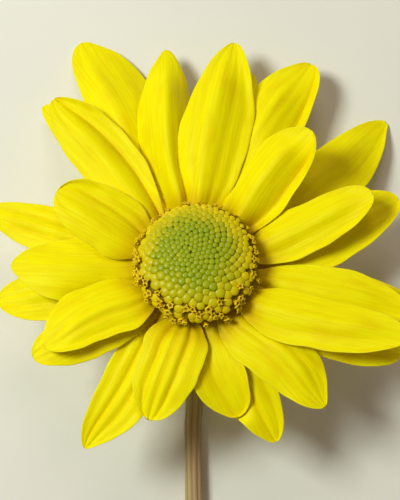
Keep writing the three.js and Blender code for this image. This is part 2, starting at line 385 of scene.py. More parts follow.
@dataclass(frozen=True)
class PetalTissue:
    """Ray petal as it grew: satin, thin enough to glow, with raised veins along it. Its colour also holds
    painted shade in the grooves and near the disc, and a painted highlight along the edge.
    """

    blade: int = 0xFFEF00
    groove: int = 0xF2D000
    # claw: the foot's own deeper gold, also used for painted shade in the grooves and near the disc
    claw: int = 0xD09C00
    # margin: painted highlight along the petal's edge
    margin: int = 0xFFF440
    underside: int = 0xEADB20
    ior: float = 1.4
    roughness: float = 0.5
    vein_spacing: float = 0.34
    vein_length: float = 9.0
    vein_depth: float = 0.05

    def material(self) -> bpy.types.Material:
        """Mixes the finish.

        The veins are drawn 0.34 mm apart, about twice as coarse as real ones, so that they show. They give
        the eye the direction of the petal. The pale margin is a painted highlight along the edge, which
        gives its thickness; the grooves are darkened with painted shade, and the foot's deeper gold is
        partly its own and partly painted shade near the disc. Light that goes into the thin blade and comes
        out again makes it glow.
        """
        paint = Paint("petal_tissue_satin_grown")
        veins = paint.grain(self.vein_length, self.vein_spacing)
        clouds = paint.grain(5.0, 2.2, 1.0)
        colour = paint.tint(self.blade, self.groove, veins, 0.42, 0.7, 0.38)
        colour = paint.tint(colour, self.groove, clouds, 0.45, 0.75, 0.4)
        # Painted shade: the grooves darken towards the claw's gold by hollow, how deep in a groove each
        # place is.
        colour = paint.tint(colour, self.claw, "hollow", 0.0, 1.0, 0.45)
        # The foot's deeper gold: partly the petal's own colour, partly painted shade near the disc.
        colour = paint.tint(colour, self.claw, "root_near", 0.0, 1.0, 0.7)
        colour = paint.tint(colour, self.underside, "under", 0.3, 0.7, 0.7)
        # Painted highlight: the edge is paled by edge_mm, where the rim catches light.
        colour = paint.tint(colour, self.margin, "edge_mm", 0.16, 0.02, 0.3)
        rough = paint.step(veins, 0.3, 0.7, self.roughness - 0.06, self.roughness + 0.08)
        return paint.surface(
            colour,
            Roughness=rough,
            IOR=self.ior,
            Specular_IOR_Level=0.12,
            Subsurface_Weight=0.12,
            Subsurface_Radius=(1.0, 0.8, 0.05),
            Subsurface_Scale=0.35 * MM,
            Normal=paint.relief(veins, self.vein_depth),
        )


@dataclass(frozen=True)
class BudTissue:
    """Closed disc floret: waxy skin, lime in the young middle and golden where it ripens."""

    young: int = 0x708200
    ripe: int = 0xFFD400
    # Painted shade at each bud's foot and between the buds.
    painted_gap_shade: int = 0x2C3800
    # crown: painted highlight on each bud's top
    crown: int = 0xC8D018
    roughness: float = 0.3

    def material(self) -> bpy.types.Material:
        """Mixes the finish. The painted highlight on the crown and the painted shade at the foot make each
        bud read on its own.
        """
        paint = Paint("disc_bud_waxy_grown")
        colour = paint.blend(paint.number("ripeness"), self.young, self.ripe)
        # Painted highlight on the top of each bud.
        colour = paint.tint(colour, self.crown, "crown", 0.8, 1.0, 0.4)
        # Painted shade down each bud's foot and in the gaps between the buds.
        colour = paint.tint(colour, self.painted_gap_shade, "crown", 0.92, 0.5)
        return paint.surface(
            colour,
            Roughness=self.roughness,
            IOR=1.4,
            Specular_IOR_Level=0.35,
            Normal=paint.relief(paint.speckle(0.2), 0.02),
        )


@dataclass(frozen=True)
class FloretTissue:
    """Open disc floret: a bright, thin, five-lobed mouth over a dark throat."""

    lobe: int = 0xF8D400
    tube: int = 0xC89C00
    throat: int = 0x9A6C00

    def material(self) -> bpy.types.Material:
        """Mixes the finish. The throat is dark because light doesn't come back out of the tube."""
        paint = Paint("open_floret_satin_grown")
        depth = paint.number("crown")
        colour = paint.tint(self.tube, self.lobe, depth, 0.45, 0.9)
        colour = paint.tint(colour, self.throat, "throat", 0.2, 0.9)
        return paint.surface(colour, Roughness=0.5, IOR=1.4, Normal=paint.relief(paint.speckle(0.15), 0.02))


@dataclass(frozen=True)
class DiscFlesh:
    """Flesh of the disc: matt, and painted dark brown as shade between the florets' feet."""

    # flesh, patch: dark browns painted as shade in the gaps between the florets
    flesh: int = 0x6A5600
    patch: int = 0x8A6E00

    def material(self) -> bpy.types.Material:
        """Mixes the finish. Its dark brown, in patches, is painted shade that gives the gaps between the
        florets their depth.
        """
        paint = Paint("disc_flesh_matt_painted_shade")
        colour = paint.tint(self.flesh, self.patch, paint.speckle(0.8), 0.4, 0.65)
        return paint.surface(colour, Roughness=0.7, IOR=1.4, Normal=paint.relief(paint.speckle(0.3), 0.05))


@dataclass(frozen=True)
class BractTissue:
    """Bract of the involucre: a small tough leaf with a dry, pale, papery margin."""

    leaf: int = 0x66803A
    rib: int = 0x93A45A
    margin: int = 0xC9C08A
    tip: int = 0x7A6A3C

    def material(self) -> bpy.types.Material:
        """Mixes the finish. Veins are 0.4 mm apart, as coarse as they need to be to show."""
        paint = Paint("bract_leaf_matt_grown")
        veins = paint.grain(5.0, 0.4)
        colour = paint.tint(self.leaf, self.rib, veins, 0.4, 0.7, 0.6)
        colour = paint.tint(colour, self.rib, "root_near", 0.0, 1.0, 0.5)
        colour = paint.tint(colour, self.margin, "edge_mm", 0.5, 0.1, 0.85)
        colour = paint.tint(colour, self.tip, "tip_near", 0.3, 1.0, 0.7)
        bump = paint.relief(veins, 0.06)
        return paint.surface(colour, Roughness=0.62, IOR=1.45, Sheen_Weight=0.1, Normal=bump)


@dataclass(frozen=True)
class StemSkin:
    """Soft stem as it grew: ribbed green skin that browns with age, with a faint bloom of short hairs."""

    young: int = 0xAABA62
    aged: int = 0xC4A67C
    flush: int = 0xCC9070
    furrow: int = 0x98825A
    pith: int = 0xD8D6A4
    cut_rim: int = 0x7E7A42

    def material(self) -> bpy.types.Material:
        """Mixes the finish. Furrows are darker than the ribs, and the cut end shows pale pith."""
        paint = Paint("stem_skin_ribbed_grown")
        streaks = paint.grain(14.0, 0.5)
        patches = paint.grain(18.0, 3.0)
        colour = paint.tint(self.young, self.aged, "age", 0.0, 1.0)
        flush = paint.maths("MULTIPLY", paint.step(patches, 0.42, 0.62, 0.0, 0.8), paint.number("age"))
        colour = paint.blend(flush, colour, self.flush)
        colour = paint.tint(colour, self.furrow, streaks, 0.45, 0.7, 0.5)
        colour = paint.tint(colour, self.furrow, "furrow", 0.2, 1.0, 0.75)
        colour = paint.blend(paint.number("cut"), colour, self.cut_rim)
        colour = paint.blend(paint.number("pith"), colour, self.pith)
        bump = paint.relief(streaks, 0.05)
        return paint.surface(colour, Roughness=0.55, IOR=1.45, Sheen_Weight=0.12, Normal=bump)


@dataclass(frozen=True)
class StudioBoard:
    """Painted board under the bloom: matt and pale, with no pattern to catch the eye."""

    coat: int = 0xF8F3F2
    patch: int = 0xF5F0EF

    def material(self) -> bpy.types.Material:
        """Mixes the finish. The wide, faint patches are those of a coat laid by hand."""
        paint = Paint("studio_board_matt_painted")
        colour = paint.tint(self.coat, self.patch, paint.speckle(60.0), 0.35, 0.65)
        return paint.surface(colour, Roughness=0.85)


# ---- the head's frame


@dataclass
class HeadFrame:
    """Where the head is: the middle of the disc's flat underside, and its axis out of the disc."""

    origin: np.ndarray
    axis: np.ndarray
    side: np.ndarray
    ahead: np.ndarray

    SLIVER = 1e-6
    ALIKE = 0.99995

    @classmethod
    def from_disc(cls, name: str) -> "HeadFrame":
        """Finds the frame from the largest flat face of the disc's CAD node.

        Args:
            name: The disc's node.

        Returns:
            The frame, with side along +X and ahead towards +Y.
        """
        points, triangles = node_mesh(name)
        a, b, c = (points[triangles[:, i]] for i in range(3))
        normals = np.cross(b - a, c - a)
        areas = np.linalg.norm(normals, axis=1) / 2
        keep = areas > cls.SLIVER
        normals, areas, centres = unit(normals[keep]), areas[keep], ((a + b + c) / 3)[keep]
        alike = normals @ normals.T > cls.ALIKE
        best = alike[np.argmax(alike @ areas)]
        weights = areas[best] / areas[best].sum()
        axis = -unit(weights @ normals[best])
        side = unit(np.array([1.0, 0.0, 0.0]) - axis[0] * axis)
        return cls(weights @ centres[best], axis, side, np.cross(axis, side))

    def local(self, points: np.ndarray) -> np.ndarray:
        """Points of the part, in the head's frame."""
        return (points - self.origin) @ np.stack([self.side, self.ahead, self.axis], axis=1)

    def world(self, points: np.ndarray) -> np.ndarray:
        """Points of the head's frame, in the part's."""
        return self.origin + points @ np.stack([self.side, self.ahead, self.axis])


# ---- blades: petals and bracts


@dataclass
class BladeForm:
    """Smooth middle surface of a blade, read from its CAD node by cutting it square to its length."""

    root: np.ndarray
    along: np.ndarray
    across: np.ndarray
    up: np.ndarray
    length: float
    drift: Polynomial
    rise: Polynomial
    slope: Polynomial
    cup: Polynomial
    claw: float
    width: float
    point: float

    CUTS = 30
    FIRST_CUT = 0.02
    LAST_CUT = 0.97
    ROOT_DEPTH = 0.4
    TIP_DEPTH = 0.25
    ROUND_TIP = 2.4
    SHARP_TIP = 2.0
    WIDEST = 0.5
    SPREAD = 1.2

    @classmethod
    def from_node(cls, name: str, head: HeadFrame) -> "BladeForm":
        """Reads a blade.

        Args:
            name: Its CAD node.
            head: The head's frame, which says which way is up and out.

        Returns:
            The form. across runs counter-clockwise round the head.
        """
        points, triangles = node_mesh(name)
        local = head.local(points)
        reach = np.hypot(local[:, 0], local[:, 1])
        root = points[reach < reach.min() + cls.ROOT_DEPTH].mean(0)
        tip = points[reach > reach.max() - cls.TIP_DEPTH].mean(0)
        along = unit(tip - root)
        across = unit(np.cross(head.axis, along))
        up = np.cross(along, across)
        length = float((points - root).dot(along).max())
        shares = np.linspace(cls.FIRST_CUT, cls.LAST_CUT, cls.CUTS)
        rows = []
        for share in shares:
            cut = plane_cut(points, triangles, root + along * length * share, along).reshape(-1, 3) - root
            y, z = cut @ across, cut @ up
            middle, half = (y.max() + y.min()) / 2, (y.max() - y.min()) / 2
            v = (y - middle) / half
            basis = np.stack([np.ones_like(v), v, v * v], axis=1)
            height, tilt, cupped = np.linalg.lstsq(basis, z, rcond=None)[0]
            rows.append((middle, height, tilt / half, cupped, half))
        middle, height, slope, cupped, half = np.array(rows).T
        width = 2 * half.max()
        beyond = (shares - cls.WIDEST) / (1 - cls.WIDEST)
        tail = beyond > 0.2
        rounded = np.sqrt(1 - beyond[tail] ** cls.ROUND_TIP)
        sharp = 1 - beyond[tail] ** cls.SHARP_TIP
        change = sharp - rounded
        point = ((2 * half[tail] / width - rounded) @ change) / (change @ change)
        degrees = ((middle, 3), (height, 5), (slope, 2), (cupped, 4))
        fits = [Polynomial.fit(shares, values, degree, domain=[0, 1]) for values, degree in degrees]
        return cls(root, along, across, up, length, *fits, 2 * half[0], width, float(np.clip(point, 0, 1)))

    def half_width(self, u: np.ndarray, tip: float, sharper: float) -> np.ndarray:
        """Half-width at fractions u of the length, for a tip of that width and added sharpness."""
        widening = np.sin((np.pi / 2) * np.minimum(u / self.WIDEST, 1)) ** self.SPREAD
        beyond = np.clip((u - self.WIDEST) / (1 - self.WIDEST), 0, 1)
        rounded = np.sqrt(1 - beyond**self.ROUND_TIP)
        narrowing = mix(rounded, 1 - beyond**self.SHARP_TIP, np.clip(self.point + sharper, 0, 1))
        inner = mix(self.claw, self.width, widening)
        return np.where(u < self.WIDEST, inner, mix(tip, self.width, narrowing)) / 2

    def place(self, along: np.ndarray, across: np.ndarray, up: np.ndarray) -> np.ndarray:
        """Points of the part at those distances from the root."""
        flat = self.root + along[..., None] * self.along + across[..., None] * self.across
        return flat + up[..., None] * self.up


@dataclass(frozen=True)
class Habit:
    """How one petal grew: what makes it look unlike its neighbours.

    v runs from -1 at the clockwise edge to 1 at the counter-clockwise one. Heights are mm.
    grooves: (v, depth, width in v) of each lengthwise groove. crease: (v, height) of a ridge.
    cw, ccw: how far each edge turns up. tip: how far the tip turns up. lean: how far it leans to +v.
    droop: how far the tip hangs. broad, wide: how much wider the foot and the whole blade are, as shares.
    point: what to add to the outline's sharpness. cupped: the share of the CAD node's cupping to keep.
    """

    grooves: tuple[tuple[float, float, float], ...] = ((-0.34, 0.22, 0.16), (0.34, 0.22, 0.16))
    crease: tuple[float, float] = (0.0, 0.0)
    cw: float = 0.15
    ccw: float = 0.15
    tip: float = 0.0
    lean: float = 0.0
    wave: float = 0.12
    broad: float = 0.0
    wide: float = 0.0
    droop: float = 0.0
    point: float = 0.0
    cupped: float = 0.7


HABITS = {
    "front_01": Habit(
        ((0.15, 0.15, 0.12), (-0.45, 0.2, 0.14), (0.55, 0.12, 0.12)), (0.2, 1.7), cw=0.8, tip=0.4,
        broad=0.2, cupped=0.3,
    ),
    "front_02": Habit(
        ((0.5, 0.15, 0.12), (-0.55, 0.5, 0.14)), (0.2, 3.6), cw=2.2, ccw=0.1, tip=0.6, broad=0.1, lean=-0.8,
        cupped=0.2,
    ),
    "front_03": Habit(
        ((0.5, 0.18, 0.1), (0.0, 0.14, 0.12), (-0.35, 0.2, 0.1)), (0.15, 3.0), cw=1.0, ccw=0.0, broad=0.1,
        cupped=0.2,
    ),
    "front_04": Habit(
        ((-0.42, 0.55, 0.1), (-0.05, 0.3, 0.2), (0.5, 0.12, 0.2)), (0.35, 1.2), cw=1.1, ccw=-0.3, broad=0.3,
        wide=0.2, droop=4.6, cupped=0.0,
    ),
    "front_05": Habit(
        ((0.1, 0.2, 0.12), (-0.45, 0.15, 0.16)), (0.15, 1.4), ccw=0.1, cw=0.1, broad=0.5, wide=0.08,
        point=0.55, lean=-0.6, droop=3.0, cupped=0.0,
    ),
    "front_06": Habit(
        ((0.3, 0.35, 0.12), (-0.2, 0.12, 0.16)), (0.1, 1.6), ccw=0.9, cw=0.0, broad=0.35, wide=0.06,
        lean=1.2, point=0.2, droop=3.2, cupped=0.0,
    ),
    "front_07": Habit(
        ((-0.5, 0.8, 0.12), (-0.05, 0.7, 0.12), (0.42, 0.8, 0.11)), (0.1, 1.4), cw=0.3, ccw=0.3, broad=0.3,
        droop=4.8, cupped=0.3,
    ),
    "front_08": Habit(
        ((-0.4, 0.3, 0.09), (0.0, 0.4, 0.09), (0.42, 0.3, 0.09)), (0.2, 1.7), cw=0.4, lean=-1.4, broad=0.25,
        droop=3.4, cupped=0.3,
    ),
    "front_09": Habit(
        ((-0.5, 0.3, 0.12), (0.3, 0.14, 0.16)), (0.15, 1.7), cw=0.6, ccw=0.1, broad=0.35, cupped=0.3,
        droop=0.8,
    ),
    "middle_01": Habit(
        ((0.45, 0.2, 0.1), (0.05, 0.22, 0.1), (-0.62, 0.5, 0.1)), (0.2, 2.8), cw=1.2, tip=0.3, lean=-1.2,
        cupped=0.3,
    ),
    "middle_02": Habit(((0.55, 0.12, 0.2),), (0.0, 5.0), cw=-0.2, ccw=0.1, tip=-0.3, lean=-1.0, cupped=0.0),
    "middle_03": Habit(
        ((-0.5, 0.9, 0.13), (0.3, 0.15, 0.14)), (0.05, 2.3), cw=1.1, ccw=0.1, lean=0.8, wide=0.06,
        cupped=0.1,
    ),
    "middle_04": Habit(((0.2, 0.25, 0.14), (-0.3, 0.2, 0.16)), (-0.1, 1.6), droop=1.5, cupped=0.3),
    "middle_05": Habit(((-0.2, 0.3, 0.2),), (-0.1, -0.5), ccw=0.7, cw=0.3, lean=0.8, droop=3.6),
    "middle_06": Habit(((0.3, 0.18, 0.12), (-0.3, 0.4, 0.16)), (0.2, 1.5), ccw=0.4, cupped=0.3),
    "back_01": Habit(
        ((0.2, 0.25, 0.12), (-0.35, 0.25, 0.1)), (0.1, 1.6), cw=0.8, ccw=0.2, wide=0.08, cupped=0.3,
    ),
    "back_02": Habit(
        ((0.1, 0.2, 0.12), (-0.4, 0.2, 0.1)), (0.2, 1.8), cw=0.4, lean=1.6, wide=0.08, cupped=0.2,
    ),
    "back_03": Habit(crease=(0.0, 1.2), cupped=0.3),
    "back_04": Habit(((0.4, 0.2, 0.14),), (0.22, 3.0), cw=0.0, ccw=0.1, lean=1.8, wide=0.1, cupped=0.0),
    "back_05": Habit(crease=(0.1, 1.2), cupped=0.3),
    "back_06": Habit(((-0.4, 0.4, 0.12), (0.3, 0.25, 0.12)), (0.0, 1.2), cupped=0.4),
    "back_07": Habit(crease=(-0.1, 1.4), cupped=0.3),
    "back_08": Habit(
        ((-0.3, 0.5, 0.11), (0.25, 0.5, 0.11)), cw=0.3, ccw=0.3, lean=-1.5, wide=0.08, droop=3.0,
        cupped=0.4,
    ),
    "back_09": Habit(((-0.1, 0.6, 0.14), (0.5, 0.2, 0.12)), ccw=0.4, lean=0.8, droop=2.4, cupped=0.4),
    "back_10": Habit(crease=(0.2, 1.0), cupped=0.3),
    "back_11": Habit(crease=(-0.1, 1.0), cupped=0.3),
}


class Pile:
    """The petals laid so far, from the foremost down. Each later one is pressed beneath them."""

    # Space between the middles of two petals, how far off a petal is looked for, and rounds of easing.
    CLEARANCE = 0.75
    REACH = 60.0
    EASING = 14

    def __init__(self, axis: np.ndarray) -> None:
        """Starts an empty pile that is pressed down that axis."""
        self.axis = axis
        self.points: list[Vector] = []
        self.faces: list[tuple[int, ...]] = []

    def press(self, middle: np.ndarray) -> np.ndarray:
        """Pushes a petal down until it clears every petal over it.

        Args:
            middle: Its middle surface, as a grid of points.

        Returns:
            The pressed surface, bent gently round the places that gave way.
        """
        if not self.faces:
            return middle
        tree = BVHTree.FromPolygons(self.points, self.faces)
        upward = Vector(self.axis)
        push = np.zeros(middle.shape[:2])
        for place in np.ndindex(*push.shape):
            start = Vector(middle[place] - self.REACH * self.axis)
            distance = tree.ray_cast(start, upward, 2 * self.REACH)[3]
            if distance is not None:
                push[place] = max(0.0, self.CLEARANCE - (distance - self.REACH))
        rows, columns = push.shape
        for _ in range(self.EASING):
            padded = np.pad(push, 1, mode="edge")
            near = [padded[i : i + rows, j : j + columns] for i in range(3) for j in range(3)]
            push = np.maximum(push, np.mean(near, axis=0))
        return middle - push[..., None] * self.axis

    def lay(self, middle: np.ndarray) -> None:
        """Adds a petal's middle surface to the pile."""
        rows, columns = middle.shape[:2]
        first = len(self.points)
        self.points += [Vector(point) for point in middle.reshape(-1, 3)]
        for i in range(rows - 1):
            for j in range(columns - 1):
                corner = first + i * columns + j
                self.faces.append((corner, corner + 1, corner + columns + 1, corner + columns))


@dataclass
class Petal:
    """One ray petal, skinned over its CAD node."""

    name: str
    form: BladeForm
    habit: Habit
    seed: int
    stations: int = 64
    columns: int = 31
    thickness: float = 0.34
    edge: float = 0.13
    tip_width: float = 0.5
    shoulder: float = 0.19
    ripple: float = 0.022
    off_floor: float = 0.7

    UV_STEP = 53

    def relief(self, u: np.ndarray, v: np.ndarray, half: np.ndarray) -> tuple[np.ndarray, np.ndarray]:
        """Works out how the surface departs from the smooth form.

        Args:
            u: Fractions of the length.
            v: Places across, from -1 to 1.
            half: Half-width at each place.

        Returns:
            The height to add in mm, and how deep in a groove each place is, from 0 to 1.
        """
        random = np.random.default_rng(self.seed)
        body = smooth(u, 0.0, 0.16) * (1 - 0.65 * smooth(u, 0.72, 1.0))
        height = np.zeros_like(u)
        hollow = np.zeros_like(u)
        for place, depth, width in self.habit.grooves:
            bend = place * (1 + 0.25 * np.sin(2.2 * u + random.uniform(0, 6)))
            dip = np.exp(-(((v - bend) / width) ** 2))
            height -= depth * dip * body
            # hollow carries painted shade: the finish darkens each groove by it.
            hollow = np.maximum(hollow, dip * body * min(depth * 1.3, 0.6))
        place, ridge = self.habit.crease
        height += ridge * (0.6 - np.sqrt((v - place) ** 2 + 0.02)) * body * smooth(u, 1.0, 0.7)
        for _ in range(4):
            ripples = random.uniform(3, 8)
            phase = random.uniform(0, 6)
            height += self.ripple * np.sin(ripples * v * 2 + phase + 1.5 * np.sin(3 * u + phase)) * body
        lengthwise = smooth(u, 0.04, 0.25) * (1 - 0.35 * smooth(u, 0.85, 1.0))
        turned = np.where(v < 0, self.habit.cw, self.habit.ccw)
        height += turned * smooth(np.abs(v), 0.62, 1.05) ** 1.4 * lengthwise * np.minimum(half / 2, 1)
        waves = np.sin(u * random.uniform(7, 12) + random.uniform(0, 6) + 2 * np.sign(v))
        height += self.habit.wave * waves * v * v * body
        height += self.habit.tip * smooth(u, 0.8, 1.0) ** 1.5 - self.habit.droop * u * u
        height += 0.35 * v * v * smooth(u, 0.3, 0.02)
        return height, hollow

    def build(self, pile: Pile) -> Skin:
        """Builds the petal's closed skin, rounded along its edge and pressed beneath the pile."""
        form, habit = self.form, self.habit
        random = np.random.default_rng(1000 + self.seed)
        t = np.linspace(0, 1, self.stations)
        u_line = 1 - (1 - t) ** 1.5
        w = np.linspace(-1, 1, self.columns)
        v_line = w * (1.3 - 0.3 * w * w)
        u, v = np.meshgrid(u_line, v_line, indexing="ij")
        base = form.half_width(u, self.tip_width, habit.point)
        outline = 1 + 0.025 * np.sin(u * random.uniform(9, 15) + random.uniform(0, 6) + np.sign(v))
        outline += 0.012 * np.sin(u * random.uniform(25, 34) + random.uniform(0, 6) + 2 * np.sign(v))
        outline += habit.wide + habit.broad * smooth(u, 0.0, 0.12) * smooth(u, 0.5, 0.2)
        shoulder = smooth(-v * np.sign(habit.lean), 0.0, 0.4) * smooth(u, 0.45, 0.8) * smooth(u, 1.0, 0.88)
        outline += self.shoulder * abs(habit.lean) * shoulder
        half = base * outline
        height, hollow = self.relief(u, v, half)
        lean = habit.lean * (smooth(u, 0.5, 1.0) ** 1.3 - 0.6) * smooth(u, 0.05, 0.5)
        across = form.drift(u) + lean + v * half
        flat = form.rise(u) + form.slope(u) * (v * half) + habit.cupped * form.cup(u) * v * v
        middle = pile.press(form.place(u * form.length, across, flat + height))
        middle[..., 2] = np.maximum(middle[..., 2], self.off_floor * self.thickness)
        pile.lay(middle)
        forward = np.gradient(middle, axis=0)
        sideways = np.gradient(middle, axis=1)
        normal = unit(np.cross(forward, sideways))
        half_thick = mix(self.thickness, self.edge, np.abs(v) ** 3) / 2 * mix(1, 0.6, smooth(u, 0.9, 1.0))
        upper = middle + normal * half_thick[..., None]
        lower = middle - normal * half_thick[..., None]
        nose = 0.45 * self.edge
        right = middle[:, -1] + unit(sideways[:, -1]) * nose
        left = middle[:, 0] - unit(sideways[:, 0]) * nose
        rings = np.concatenate([upper, right[:, None], lower[:, ::-1], left[:, None]], axis=1)
        faces = blade_faces(self.stations, self.columns, 1)
        edge = np.minimum((1 - np.abs(v)) * half, (1 - u) * form.length * 0.8)
        rim = np.full_like(v[:, :1], 0.4)
        numbers = {
            # edge_mm: distance from the edge; the finish paints a highlight along the rim by it
            "edge_mm": self.spread(edge, 0.0),
            # hollow: painted shade in the grooves
            "hollow": self.spread(hollow, 0.0),
            # root_near: the foot's own deeper gold and painted shade near the disc
            "root_near": self.spread(smooth(u * form.length, 8.0, 0.5), None),
            "under": np.concatenate([np.zeros_like(v), rim, np.ones_like(v), rim], axis=1).ravel(),
        }
        along = u * form.length + self.UV_STEP * self.seed
        uv = np.stack([self.spread(along, None), self.spread(v * half, None)], axis=1)
        return Skin(rings.reshape(-1, 3), faces, numbers, uv)

    @staticmethod
    def spread(values: np.ndarray, rim: float | None) -> np.ndarray:
        """Gives both faces and the rim a number each.

        Args:
            values: Numbers of the middle surface.
            rim: The number along the rim, or None for that of the surface beside it.

        Returns:
            One number for each point of the skin.
        """
        right = values[:, -1:] if rim is None else np.full_like(values[:, :1], rim)
        left = values[:, :1] if rim is None else np.full_like(values[:, :1], rim)
        return np.concatenate([values, right, values[:, ::-1], left], axis=1).ravel()


class RayPetals:
    """The ray: every petal node, each skinned on its own."""

    def __init__(self, head: HeadFrame) -> None:
        """Reads the petal nodes in the order of their names."""
        self.axis = head.axis
        names = sorted(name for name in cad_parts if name.startswith("petal_"))
        habits = [HABITS.get(name.removeprefix("petal_"), Habit()) for name in names]
        self.petals = [
            Petal(name, BladeForm.from_node(name, head), habit, seed)
            for seed, (name, habit) in enumerate(zip(names, habits))
        ]

    def build(self) -> None:
        """Builds and dresses every petal, from the foremost seat on the receptacle to the hindmost."""
        tissue = PetalTissue().material()
        pile = Pile(self.axis)
        for petal in sorted(self.petals, key=lambda petal: -petal.form.root @ self.axis):
            petal.build(pile).piece(petal.name.replace("petal", "ray"), tissue, Slot.PETAL, petal.name)


@dataclass
class Involucre:
    """Two rows of bracts that clasp the receptacle."""

    head: HeadFrame
    stations: int = 22
    columns: int = 13
    thickness: float = 0.36
    edge: float = 0.16

    def leaf(self, name: str, seed: int) -> Skin:
        """Builds one bract over its CAD node, keeled along its midrib."""
        form = BladeForm.from_node(name, self.head)
        random = np.random.default_rng(500 + seed)
        t = np.linspace(0, 1, self.stations)
        u, v = np.meshgrid(1 - (1 - t) ** 1.4, np.linspace(-1, 1, self.columns), indexing="ij")
        belly = 0.72 + 0.3 * np.sin(np.pi * u)
        narrowing = np.sqrt(np.clip(1 - smooth(u, 0.45, 1.06) ** 1.3, 0, 1))
        half = form.width / 2 * belly * narrowing
        keel = 0.16 * np.exp(-((v / 0.22) ** 2)) * (1 - smooth(u, 0.8, 1))
        curl = random.uniform(-0.1, 0.35) * smooth(u, 0.6, 1.0) ** 1.5 + 0.12 * v * v * np.sin(6 * u + seed)
        flat = form.rise(u) + form.cup(u) * v * v
        middle = form.place(u * form.length, form.drift(u) + v * half, flat + curl)
        normal = unit(np.cross(np.gradient(middle, axis=0), np.gradient(middle, axis=1)))
        half_thick = mix(self.thickness, self.edge, v * v) / 2
        upper = middle + normal * half_thick[..., None]
        lower = middle - normal * (half_thick + keel)[..., None]
        rings = np.concatenate([upper, lower[:, ::-1]], axis=1)
        faces = blade_faces(self.stations, self.columns, 0)
        edge = np.minimum((1 - np.abs(v)) * half, (1 - u) * form.length)
        numbers = {
            key: np.concatenate([values, values[:, ::-1]], axis=1).ravel()
            for key, values in (
                ("edge_mm", edge),
                ("root_near", smooth(u, 0.35, 0.0)),
                ("tip_near", smooth(u, 0.8, 1.0)),
                ("along", u * form.length + 31 * seed),
                ("across", v * half),
            )
        }
        uv = np.stack([numbers.pop("along"), numbers.pop("across")], axis=1)
        return Skin(rings.reshape(-1, 3), faces, numbers, uv)

    def build(self) -> None:
        """Builds and dresses every bract."""
        tissue = BractTissue().material()
        for seed, name in enumerate(sorted(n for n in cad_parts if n.startswith("bract_"))):
            self.leaf(name, seed).piece(name.replace("bract", "leaf"), tissue, Slot.BRACT, name)


# ---- the disc


